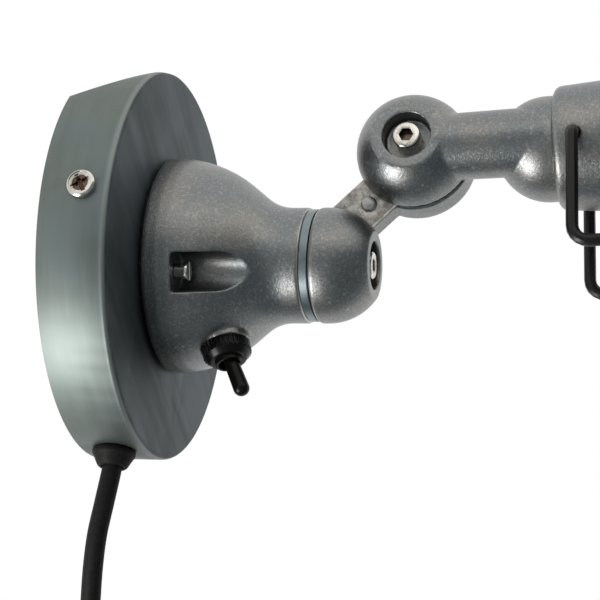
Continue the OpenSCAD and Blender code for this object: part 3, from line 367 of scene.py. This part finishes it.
# For each of the record's slots, what makes its material and with which values
MAKERS = {
    "cast_metal": (tumbled_casting, "tumbled casting", "8c8b88", "7c8081", 0.36),
    "drum_metal": (brushed_drum, "brushed drum"),
    "ring_metal": (turned_metal, "turned ring", "737e81", "889294", 0.36),
    "plate_metal": (mottled_plate, "mottled plate"),
    "bright_metal": (turned_metal, "bright nickel", "b3afa8", "e2dfd8", 0.20),
    "plain_steel": (turned_metal, "zinc plated steel", "87888a", "b9b9b6", 0.34),
    "black_plastic": (moulded, "black moulding", "070706", "0f0e0d", 0.32, 0.00002, 0.18),
    "black_rubber": (moulded, "black rubber", "10100f", "1c1c1b", 0.60, 0.00006, 0.12),
    "black_wire": (moulded, "black enamel", "0b0b0a", "171615", 0.36, 0.00003, 0.3),
    "porcelain": (moulded, "glazed china", "d8d2c4", "efebe0", 0.22, 0.00003, 0.5, 0.5, 300),
    "brass": (turned_metal, "brass", "9a7a3c", "c8a860", 0.30),
    "reflector_metal": (spun_reflector, "spun reflector"),
    "bulb_metal": (turned_metal, "pressed cap", "a09f9b", "cfcdc8", 0.30),
    "frosted_glass": (frosted_bulb, "frosted glass"),
}
FINISHES = {}


def finish_for(slot):
    """The material of one of the record's slots, made once."""
    if slot not in FINISHES:
        maker, *values = MAKERS[slot]
        FINISHES[slot] = maker(*values)
    return FINISHES[slot]


# Helpers for pieces

def sizes():
    return bpy.context.scene.lamp_sizes


def pick(piece):
    """Selects one object alone and makes it active."""
    if bpy.context.object and bpy.context.object.mode != "OBJECT":
        bpy.ops.object.mode_set(mode="OBJECT")
    bpy.ops.object.select_all(action="DESELECT")
    piece.hide_set(False)
    piece.select_set(True)
    bpy.context.view_layer.objects.active = piece


def paint(piece, slot):
    piece.data.materials.clear()
    piece.data.materials.append(finish_for(slot))


def apply(piece, kind, **settings):
    """Adds a modifier with these settings and applies it."""
    pick(piece)
    modifier = piece.modifiers.new(kind.lower(), kind)
    for key, value in settings.items():
        setattr(modifier, key, value)
    bpy.ops.object.modifier_apply(modifier=modifier.name)


def merged_copy(node, name):
    """A copy of a solid's mesh as one skin, with its flat faces joined up."""
    source = frame["nodes"][node]
    piece = bpy.data.objects.new(name, source.data.copy())
    bpy.context.scene.collection.objects.link(piece)
    pick(piece)
    bpy.ops.object.mode_set(mode="EDIT")
    bpy.ops.mesh.select_all(action="SELECT")
    bpy.ops.mesh.remove_doubles(threshold=MERGE_REACH)
    bpy.ops.object.mode_set(mode="OBJECT")
    return piece


def stand_in_for(piece, node):
    paint(piece, SLOT_OF[node])
    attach(piece, BODY_OF[node])
    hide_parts(node)
    return piece


def soft_casting(node):
    """A casting with the soft edges and small fillets that a mould and tumbling leave."""
    piece = merged_copy(node, node + "_cast")
    apply(piece, "REMESH", mode="VOXEL", voxel_size=sizes().cast_grid)
    apply(piece, "SMOOTH", factor=0.5, iterations=sizes().cast_rounds)
    pick(piece)
    bpy.ops.object.shade_smooth()
    return stand_in_for(piece, node)


def eased(node):
    """A machined or moulded part with its sharp edges broken."""
    width = EDGE_WIDTHS.get(node, sizes().broken_edge)
    angle = ROUND_EDGE_ANGLE if node in ROUND_NODES else EDGE_ANGLE
    piece = merged_copy(node, node + "_eased")
    bpy.ops.object.mode_set(mode="EDIT")
    bpy.ops.mesh.select_all(action="SELECT")
    bpy.ops.mesh.dissolve_limited(angle_limit=math.radians(0.6))
    bpy.ops.object.mode_set(mode="OBJECT")
    apply(piece, "BEVEL", width=width, segments=2, limit_method="ANGLE",
          angle_limit=math.radians(angle), use_clamp_overlap=True, harden_normals=False)
    pick(piece)
    bpy.ops.object.shade_smooth_by_angle(angle=math.radians(28))
    return stand_in_for(piece, node)


def plain(*nodes):
    """Nodes whose solid is right as it is get their finish."""
    for node in nodes:
        paint(frame["nodes"][node], SLOT_OF[node])


# What a user would change

class LampSizes(bpy.types.PropertyGroup):
    cord_width: FloatProperty(
        name="Cord", description="Diameter of the supply cord", default=0.0062, unit="LENGTH")
    cast_grid: FloatProperty(
        name="Casting grid", description="Grid on which castings are softened",
        default=0.00045, min=0.0003, unit="LENGTH")
    cast_rounds: IntProperty(
        name="Casting softness", description="Rounds of smoothing on castings",
        default=5, min=0, max=20)
    broken_edge: FloatProperty(
        name="Broken edge", description="Width of broken edges on screws and plates",
        default=0.0002, unit="LENGTH")


class LampStage(bpy.types.PropertyGroup):
    floor_colour: FloatVectorProperty(
        name="Floor", description="Colour of the floor", size=3, subtype="COLOR",
        default=(0.86, 0.86, 0.86))
    card_grey: FloatProperty(
        name="Card", description="Brightness of the card that metal mirrors",
        default=0.22, min=0, max=1, subtype="FACTOR")
    lens: FloatProperty(
        name="Lens", description="Focal length on a 36 mm sensor", default=125.4)


# Stage

def add_camera(scene, focal):
    lens = bpy.data.cameras.new("camera")
    lens.sensor_width, lens.lens = SENSOR_WIDTH, focal
    lens.clip_start, lens.clip_end = CAMERA_REACH
    eye = bpy.data.objects.new("camera", lens)
    scene.collection.objects.link(eye)
    eye.location = CAMERA_PLACE
    eye.rotation_euler = [math.radians(a) for a in CAMERA_TURN]
    scene.camera = eye


def add_floor(colour):
    """A pale round floor just below the plug. It keeps the lamp's shadow."""
    bpy.ops.object.select_all(action="DESELECT")
    bpy.ops.mesh.primitive_circle_add(vertices=96, radius=FLOOR_RADIUS, fill_type="NGON",
                                      location=(FLOOR_X, 0, SOLID_BOX[0].z - FLOOR_DROP))
    floor = bpy.context.object
    floor.name = "floor"
    f = Finish("pale floor")
    speckle = f.noise(14, 2).ramp(0.3, 0.7, 0.97, 1.0)
    floor.data.materials.append(f.done(f.mix((0, 0, 0), colour, speckle), 0.8))
    floor.visible_glossy = False


def background(tree, colour, strength):
    node = tree.nodes.new("ShaderNodeBackground")
    node.inputs[0].default_value = (*colour, 1)
    node.inputs[1].default_value = strength
    return node.outputs[0]


def choice(tree, *sockets):
    """A mix of two shaders. Its sockets are the factor, the shader at 0 and the one at 1."""
    node = tree.nodes.new("ShaderNodeMixShader")
    for source, target in zip(sockets, node.inputs):
        tree.links.new(source, target)
    return node.outputs[0]


def add_world(scene):
    """White for the camera and through glass, white for mirrors and dimmer for matt faces."""
    world = bpy.data.worlds.new("studio")
    scene.world = world
    world.use_nodes = True
    tree = world.node_tree
    tree.nodes.clear()
    way = tree.nodes.new("ShaderNodeLightPath")
    seen = tree.nodes.new("ShaderNodeMath")
    seen.operation = "MAXIMUM"
    tree.links.new(way.outputs["Is Camera Ray"], seen.inputs[0])
    tree.links.new(way.outputs["Is Transmission Ray"], seen.inputs[1])
    matt = background(tree, ROOM_COLOUR, ROOM_LIGHT)
    white = background(tree, (1, 1, 1), 1.0)
    light = choice(tree, way.outputs["Is Glossy Ray"], matt, white)
    light = choice(tree, seen.outputs[0], light, white)
    out = tree.nodes.new("ShaderNodeOutputWorld")
    tree.links.new(light, out.inputs[0])


def add_card(grey):
    """A grey hood in front of the lamp and below it, white at its rims. Only metal mirrors it."""
    radius = HOOD_RADIUS
    bpy.ops.object.select_all(action="DESELECT")
    bpy.ops.mesh.primitive_uv_sphere_add(segments=120, ring_count=60, radius=radius,
                                         location=HOOD_MIDDLE)
    card = bpy.context.object
    card.name = "grey card"
    bpy.ops.object.mode_set(mode="EDIT")
    bpy.ops.mesh.select_all(action="DESELECT")
    bpy.ops.object.mode_set(mode="OBJECT")
    for face in card.data.polygons:
        middle = face.center / radius
        turn = math.degrees(math.atan2(middle.x, -middle.y))
        low = middle.z < HOOD_BOWL and middle.y < HOOD_BACK
        round_it = HOOD_TURNS[0] < turn < HOOD_TURNS[1] and middle.z < HOOD_CROWN
        face.select = not (low or round_it)
    bpy.ops.object.mode_set(mode="EDIT")
    bpy.ops.mesh.delete(type="FACE")
    bpy.ops.object.mode_set(mode="OBJECT")

    f = Finish("grey card")
    x, y, z = f.split()
    turn = f.add("ShaderNodeMath", {"operation": "ARCTAN2"}, x, y * -1)
    off_bowl = z.ramp(-0.85 * radius, -0.70 * radius)
    left = turn.ramp(math.radians(-20), math.radians(-30)) * off_bowl
    right = turn.ramp(math.radians(95), math.radians(125)) * off_bowl
    top = z.ramp(0.50 * radius, 0.70 * radius)
    below = z.ramp(-0.78 * radius, -0.90 * radius) * x.ramp(-0.20, -0.25)
    behind = y.ramp(0.10 * radius, 0.48 * radius)
    ahead = x.ramp(-0.13, -0.04) * x.ramp(0.22, 0.10) * z.ramp(-0.25, -0.10) * 0.33
    white = left.top(right).top(top).top(below).top(behind).top(ahead)
    hue = f.mix((grey * 0.88, grey, grey * 1.06), (1, 1, 1), white)
    band = z.ramp(0.56 * radius, 0.70 * radius) * z.ramp(0.95 * radius, 0.82 * radius)
    f.link(f.mix(hue, HOOD_BAND, band), f.shader.inputs["Emission Color"])
    card.data.materials.append(f.done((0, 0, 0), 1.0, Emission_Strength=1))
    card.visible_camera = card.visible_diffuse = card.visible_shadow = False
    card.visible_transmission = False


def add_lamp():
    """A small square lamp, low in front of the wall."""
    lamp = bpy.data.lights.new("low key lamp", "AREA")
    lamp.shape, lamp.size, lamp.size_y = "RECTANGLE", KEY_SIZE, KEY_SIZE
    lamp.energy, lamp.color = KEY_WATTS, (1, 1, 1)
    holder = bpy.data.objects.new("low key lamp", lamp)
    bpy.context.scene.collection.objects.link(holder)
    holder.location = KEY_PLACE
    way = Vector(KEY_AIM) - Vector(KEY_PLACE)
    holder.rotation_euler = way.to_track_quat("-Z", "Y").to_euler()
    holder.visible_camera = False


class LAMP_OT_stage(bpy.types.Operator):
    """Camera at the photograph's place, a soft lamp, a pale floor and a white world"""
    bl_idname = "lamp.stage"
    bl_label = "Stage"

    def execute(self, context):
        scene, stage = context.scene, context.scene.lamp_stage
        add_camera(scene, stage.lens)
        scene.view_settings.view_transform = "Standard"
        add_floor(stage.floor_colour)
        add_world(scene)
        add_card(stage.card_grey)
        add_lamp()
        return {"FINISHED"}


# Cord

def coil_point(turn):
    """Centreline of the coil, turn by turn: in on the layer at the wall, out on the next one."""
    half = COIL_LOOPS / 2
    radius = COIL_RADIUS - COIL_PITCH * (turn if turn < half else COIL_LOOPS - turn)
    layer = COIL_PITCH * min(1, max(0, (turn - half) / LAYER_CHANGE + 0.5))
    a = turn * 2 * math.pi
    x, y, z = COIL_MIDDLE
    return (x + layer, y - radius * math.cos(a), z - radius * math.sin(a))


def smooth_way(points):
    """A curve through points that leaves none of them out."""
    p = [Vector(q) for q in points]
    p = [2 * p[0] - p[1], *p, 2 * p[-1] - p[-2]]
    way = []
    for i in range(1, len(p) - 2):
        a, b, c, d = p[i - 1:i + 3]
        for k in range(ROUTE_STEPS):
            t = k / ROUTE_STEPS
            way.append(0.5 * (2 * b + (c - a) * t + (2 * a - 5 * b + 4 * c - d) * t * t
                              + (3 * b - a - 3 * c + d) * t ** 3))
    return way + [p[-2]]


def cord_way():
    """The cord's centreline from inside the drum to the plug, in metres."""
    way = smooth_way(ROUTE)
    way += [Vector(coil_point(i / COIL_STEPS)) for i in range(COIL_LOOPS * COIL_STEPS + 1)]
    x0, y, z = COIL_MIDDLE[0] + COIL_PITCH, COIL_MIDDLE[1] - COIL_RADIUS, COIL_MIDDLE[2]
    sleeve = PLUG_TOP + SLEEVE_RISE
    for i in range(1, DROP_STEPS):
        t = i / DROP_STEPS
        way.append(Vector((x0 + (PLUG_X - x0) * t * t * (3 - 2 * t), y, z + (sleeve - z) * t)))
    way += [Vector((PLUG_X, y, sleeve)), Vector((PLUG_X, y, PLUG_TOP - CORD_IN_PLUG))]
    return [p * MM for p in way]


class LAMP_OT_cord(bpy.types.Operator):
    """Rubber cord from the gland, its coil below the drum and its moulded plug"""
    bl_idname = "lamp.cord"
    bl_label = "Cord and plug"

    def execute(self, context):
        width = sizes().cord_width
        way = cord_way()
        line = bpy.data.curves.new("supply_cord", "CURVE")
        line.dimensions = "3D"
        line.bevel_depth, line.bevel_resolution = width / 2, 4
        line.use_fill_caps = True
        spline = line.splines.new("POLY")
        spline.points.add(len(way) - 1)
        for point, place in zip(spline.points, way):
            point.co = (*place, 1)
        spline.use_smooth = True
        piece = bpy.data.objects.new("supply_cord", line)
        context.scene.collection.objects.link(piece)
        paint(piece, "black_rubber")
        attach(piece, "base")
        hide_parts("cord", "cord_coil")
        plain("cord_tie")
        plug, tie = eased("plug_body"), frame["nodes"]["cord_tie"]
        pins = eased("plug_pins")
        long = sum((b - a).length for a, b in zip(way, way[1:]))
        return {"FINISHED"}


# Metal parts

class LAMP_OT_base(bpy.types.Operator):
    """Drum on the wall with its bracket, screws, gland and terminal block"""
    bl_idname = "lamp.base"
    bl_label = "Drum"

    def execute(self, context):
        for node in ("base_drum", "rim_screws", "cord_gland", "wall_bracket", "terminal_block"):
            eased(node)
        plain("terminal_screws")
        return {"FINISHED"}


class LAMP_OT_bell(bpy.types.Operator):
    """Cast bell with its pocket screws and the ring at its neck"""
    bl_idname = "lamp.bell"
    bl_label = "Bell"

    def execute(self, context):
        soft_casting("bell_mount")
        eased("bell_screws")
        eased("swivel_ring")
        plain("bell_nuts", "stop_pin")
        return {"FINISHED"}


class LAMP_OT_toggle(bpy.types.Operator):
    """Toggle switch with its knurled nut and lever"""
    bl_idname = "lamp.toggle"
    bl_label = "Toggle switch"

    def execute(self, context):
        for node in ("switch_body", "switch_nut", "switch_lever"):
            eased(node)
        return {"FINISHED"}


class LAMP_OT_joint(bpy.types.Operator):
    """Knuckle with its dome and web, the link plate, and both pivot screws"""
    bl_idname = "lamp.joint"
    bl_label = "Joint"

    def execute(self, context):
        soft_casting("swivel_knuckle")
        for node in ("swivel_screw", "tilt_screw", "link_plate", "link_rivet"):
            eased(node)
        plain("swivel_washer", "swivel_nut", "tilt_washer", "tilt_nut")
        return {"FINISHED"}


class LAMP_OT_head(bpy.types.Operator):
    """Arm and cup casting, collar, lampholder and shade ring"""
    bl_idname = "lamp.head"
    bl_label = "Head"

    def execute(self, context):
        soft_casting("head_arm")
        soft_casting("lamp_collar")
        eased("lampholder")
        eased("shade_ring")
        plain("collar_screws", "holder_contacts")
        return {"FINISHED"}


class LAMP_OT_light(bpy.types.Operator):
    """Reflector and frosted bulb"""
    bl_idname = "lamp.light"
    bl_label = "Reflector and bulb"

    def execute(self, context):
        for node in ("reflector", "bulb_cap", "bulb_glass"):
            eased(node)
        return {"FINISHED"}


class LAMP_OT_guard(bpy.types.Operator):
    """Wire guard below the bulb"""
    bl_idname = "lamp.guard"
    bl_label = "Guard"

    def execute(self, context):
        eased("guard_frame")
        return {"FINISHED"}


class LAMP_PT_panel(bpy.types.Panel):
    """Buttons for the lamp's pieces"""
    bl_label = "Wall lamp"
    bl_idname = "LAMP_PT_panel"
    bl_space_type = "VIEW_3D"
    bl_region_type = "UI"
    bl_category = "Wall lamp"

    def draw(self, context):
        for group in (context.scene.lamp_sizes, context.scene.lamp_stage):
            for key in group.bl_rna.properties.keys():
                if key not in ("rna_type", "name"):
                    self.layout.prop(group, key)
        for operator in STEPS:
            self.layout.operator(operator.bl_idname)


STEPS = (LAMP_OT_stage, LAMP_OT_cord, LAMP_OT_base, LAMP_OT_bell, LAMP_OT_toggle, LAMP_OT_joint,
         LAMP_OT_head, LAMP_OT_light, LAMP_OT_guard)
CLASSES = (LampSizes, LampStage, *STEPS, LAMP_PT_panel)


def register():
    for item in CLASSES:
        bpy.utils.register_class(item)
    bpy.types.Scene.lamp_sizes = PointerProperty(type=LampSizes)
    bpy.types.Scene.lamp_stage = PointerProperty(type=LampStage)


def unregister():
    del bpy.types.Scene.lamp_stage
    del bpy.types.Scene.lamp_sizes
    for item in reversed(CLASSES):
        bpy.utils.unregister_class(item)


def main():
    register()
    for step in STEPS:
        group, name = step.bl_idname.split(".")
        getattr(getattr(bpy.ops, group), name)()


if __name__ == "__main__":
    main()
